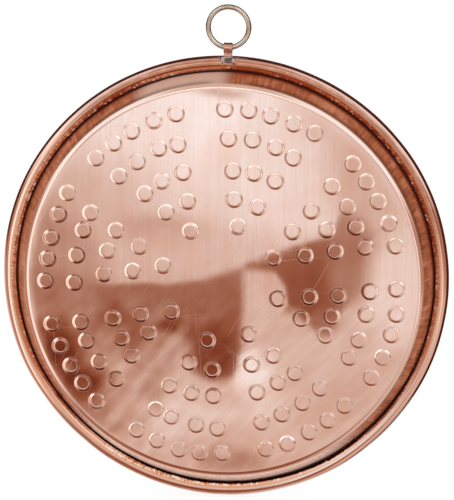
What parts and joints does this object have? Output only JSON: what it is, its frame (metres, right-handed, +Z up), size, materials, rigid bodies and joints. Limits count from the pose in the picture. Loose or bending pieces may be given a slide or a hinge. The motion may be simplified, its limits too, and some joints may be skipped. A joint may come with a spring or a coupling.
{
  "type": "copper baking pan",
  "caption": "Shallow round copper baking pan with a wired rolled rim, groups of punch marks in its base, and a loose hanging ring in a folded strap.",
  "frame": {"origin": "centre of the pan's inside floor", "axes": "+Z up with the pan hanging from its ring, towards the hanger; +Y along the pan's axis out of its mouth, so the underside faces -Y; +X to the right seen from the underside"},
  "size_m": [0.28, 0.0191, 0.3114],
  "materials": {
    "copper": null,
    "wire": "plain galvanised steel wire",
    "strap_copper": null,
    "solder": "dull tin solder",
    "ring_metal": "pale satin brass wire"
  },
  "bodies": {
    "pan": {"pan_shell": "copper", "rim_wire": "wire", "hanger_strap": "strap_copper", "strap_solder": "solder"},
    "ring": {"hanging_ring": "ring_metal"}
  },
  "joints": [
    {"name": "ring_swing", "type": "hinge", "parent": "pan", "child": "ring", "pos_m": [0, 0.0129, 0.145], "axis": [1, 0, 0], "range_deg": [-140, 140]}
  ]
}
